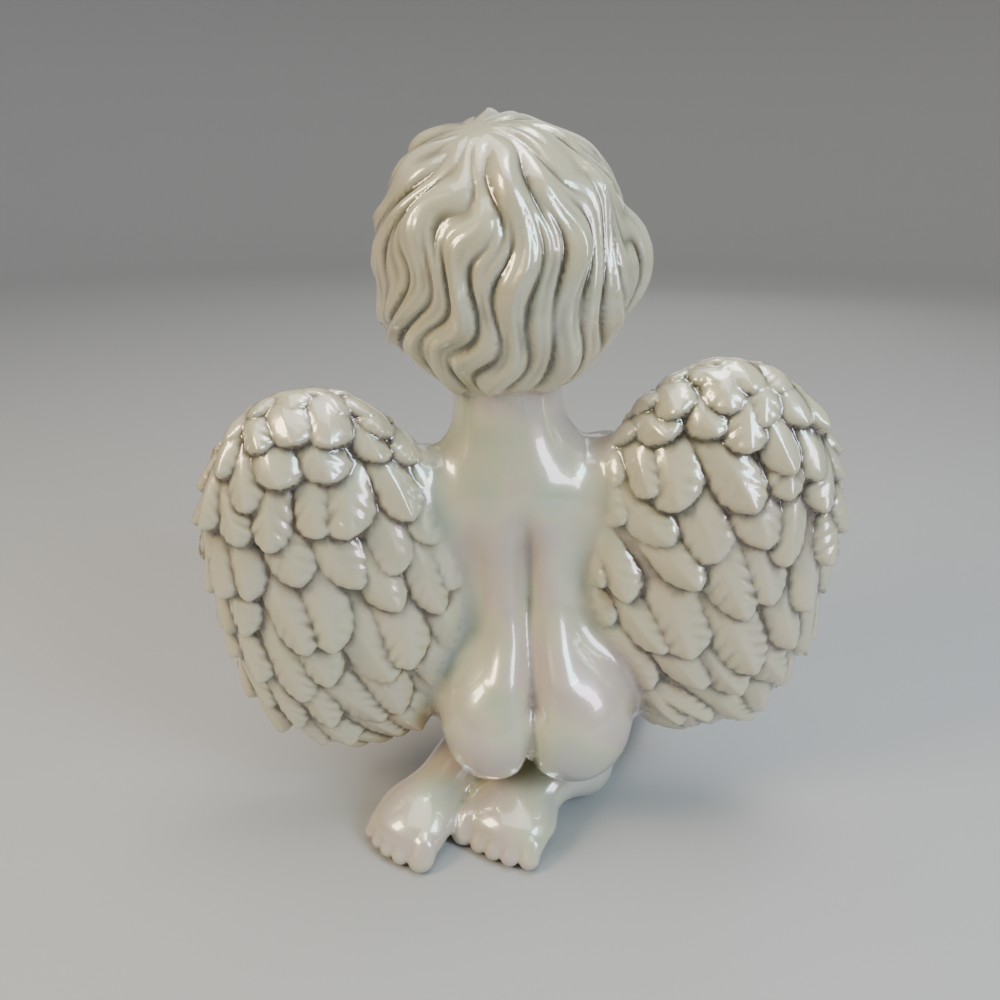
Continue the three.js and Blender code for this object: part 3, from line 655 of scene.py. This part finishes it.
def pearl_glaze():
    """A cream glaze with painted shade that darkens its hollows, with a clear coat over a thin pearly
    film.
    """
    material = bpy.data.materials.new("pearl_glaze")
    material.use_nodes = True
    nodes, links = material.node_tree.nodes, material.node_tree.links
    shader = nodes["Principled BSDF"]
    shader.inputs["Metallic"].default_value = 0.15
    shader.inputs["Roughness"].default_value = 0.26
    shader.inputs["Coat Weight"].default_value = 1.0
    shader.inputs["Coat Roughness"].default_value = 0.03
    shader.inputs["Coat IOR"].default_value = 1.7
    place = nodes.new("ShaderNodeTexCoord")

    def noise(scale, detail):
        node = nodes.new("ShaderNodeTexNoise")
        node.inputs["Scale"].default_value = scale
        node.inputs["Detail"].default_value = detail
        links.new(place.outputs["Object"], node.inputs["Vector"])
        return node.outputs["Fac"]

    def ramp(source, *stops):
        node = nodes.new("ShaderNodeValToRGB")
        steps = node.color_ramp.elements
        while len(steps) < len(stops):
            steps.new(0.5)
        for step, (position, colour) in zip(steps, stops):
            step.position = position
            step.color = (*colour, 1)
        links.new(source, node.inputs["Fac"])
        return node.outputs["Color"]

    def value_of(name):
        node = nodes.new("ShaderNodeAttribute")
        node.attribute_name = name
        return node.outputs["Fac"]

    def mix(factor, first, second):
        node = nodes.new("ShaderNodeMix")
        node.data_type = "RGBA"
        links.new(factor, node.inputs["Factor"])
        for socket, value in ((node.inputs["A"], first), (node.inputs["B"], second)):
            if isinstance(value, tuple):
                socket.default_value = (*value, 1)
            else:
                links.new(value, socket)
        return node.outputs["Result"]

    lustre = ramp(
        noise(26, 2),
        (0.30, (0.49, 0.42, 0.30)),
        (0.42, (0.53, 0.43, 0.39)),
        (0.50, (0.55, 0.51, 0.37)),
        (0.58, (0.45, 0.50, 0.36)),
        (0.70, (0.44, 0.42, 0.49)),
    )
    played = ramp(value_of("plain"), (0.0, (0.15, 0.15, 0.15)), (1.0, (0.85, 0.85, 0.85)))
    cream = mix(played, (0.545, 0.49, 0.325), lustre)
    # Painted shade: the hollows are darkened towards a near-black brown.
    painted_shade = ramp(value_of("recess_shade"), (0.0, (0, 0, 0)), (1.0, (0.95, 0.95, 0.95)))
    links.new(mix(painted_shade, cream, (0.045, 0.032, 0.016)), shader.inputs["Base Color"])
    film = nodes.new("ShaderNodeMapRange")
    film.inputs["From Min"].default_value = 0.35
    film.inputs["From Max"].default_value = 0.65
    film.inputs["To Min"].default_value = 380
    film.inputs["To Max"].default_value = 540
    links.new(noise(22, 0), film.inputs["Value"])
    links.new(film.outputs["Result"], shader.inputs["Thin Film Thickness"])
    shader.inputs["Thin Film IOR"].default_value = 1.55
    ripple = nodes.new("ShaderNodeBump")
    ripple.inputs["Strength"].default_value = 0.12
    ripple.inputs["Distance"].default_value = 0.0006
    links.new(noise(160, 2), ripple.inputs["Height"])
    links.new(ripple.outputs["Normal"], shader.inputs["Normal"])
    links.new(ripple.outputs["Normal"], shader.inputs["Coat Normal"])
    return material


# Studio

def backdrop():
    """A pale round floor that sweeps up into a wall on every side."""
    bm = bmesh.new()
    flat, sweep, top = 1.7, 0.8, 3.4
    profile = [(0.0, 0.0), (0.6, 0.0), (flat, 0.0)]
    for i in range(1, 13):
        angle = math.radians(90 * i / 12)
        profile.append((flat + sweep * math.sin(angle), sweep * (1 - math.cos(angle))))
    profile.append((flat + sweep, top))
    verts = [bm.verts.new((0, y, z)) for y, z in profile]
    edges = [bm.edges.new(pair) for pair in zip(verts, verts[1:])]
    bmesh.ops.spin(bm, geom=verts + edges, axis=(0, 0, 1), cent=(0, 0, 0), steps=96, angle=2 * math.pi)
    bmesh.ops.remove_doubles(bm, verts=bm.verts, dist=1e-4)
    bmesh.ops.recalc_face_normals(bm, faces=bm.faces)
    if min(bm.faces, key=lambda face: face.calc_center_median().length).normal.z < 0:
        bmesh.ops.reverse_faces(bm, faces=bm.faces)
    mesh = bpy.data.meshes.new("floor")
    bm.to_mesh(mesh)
    bm.free()
    mesh.polygons.foreach_set("use_smooth", np.ones(len(mesh.polygons), bool))
    floor = bpy.data.objects.new("floor", mesh)
    bpy.context.scene.collection.objects.link(floor)
    material = bpy.data.materials.new("pale_floor")
    material.use_nodes = True
    shader = material.node_tree.nodes["Principled BSDF"]
    shader.inputs["Base Color"].default_value = (0.34, 0.335, 0.33, 1)
    shader.inputs["Roughness"].default_value = 0.7
    mesh.materials.append(material)
    return floor


def soft_light(name, place, target, size, power, colour):
    data = bpy.data.lights.new(name, "AREA")
    data.shape = "RECTANGLE"
    data.size, data.size_y = size
    data.energy = power
    data.color = colour
    light = bpy.data.objects.new(name, data)
    light.location = place
    light.rotation_euler = (Vector(target) - Vector(place)).to_track_quat("-Z", "Y").to_euler()
    bpy.context.scene.collection.objects.link(light)


def studio():
    middle = (0, 0, 0.12)
    soft_light("overhead", (0.15, 0.05, 1.15), middle, (0.35, 0.35), 5, (0.97, 0.98, 1.0))
    soft_light("lamp_left", (-0.62, -0.3, 0.6), middle, (0.22, 0.34), 6, (1.0, 0.82, 0.54))
    soft_light("upper_right", (0.55, -0.45, 0.66), middle, (0.3, 0.3), 5, (0.56, 0.90, 1.0))
    soft_light("lower_right", (0.62, -0.5, 0.40), middle, (0.24, 0.3), 3, (0.88, 0.78, 1.0))
    soft_light("front_fill", (0.3, 1.1, 0.6), middle, (0.8, 0.8), 1.5, (1.0, 0.97, 0.94))
    soft_light("ceiling", (0, 0, 3.3), middle, (3, 3), 75, (0.98, 0.99, 1.0))
    world = bpy.data.worlds.new("studio")
    world.use_nodes = True
    sky = world.node_tree.nodes["Background"]
    sky.inputs["Color"].default_value = (0.80, 0.82, 0.85, 1)
    sky.inputs["Strength"].default_value = 0.05
    bpy.context.scene.world = world


def camera():
    data = bpy.data.cameras.new("camera")
    data.sensor_width = 36
    data.lens = CAMERA_FOCAL * data.sensor_width
    data.clip_start = 0.01
    view = bpy.data.objects.new("camera", data)
    view.location = CAMERA_PLACE
    view.rotation_euler = (math.radians(90 - CAMERA_PITCH), 0, 0)
    bpy.context.scene.collection.objects.link(view)
    bpy.context.scene.camera = view


camera()
figurine = casting()
figurine.data.materials.clear()
figurine.data.materials.append(pearl_glaze())
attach(figurine, "root")
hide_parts(NODE)
backdrop()
studio()
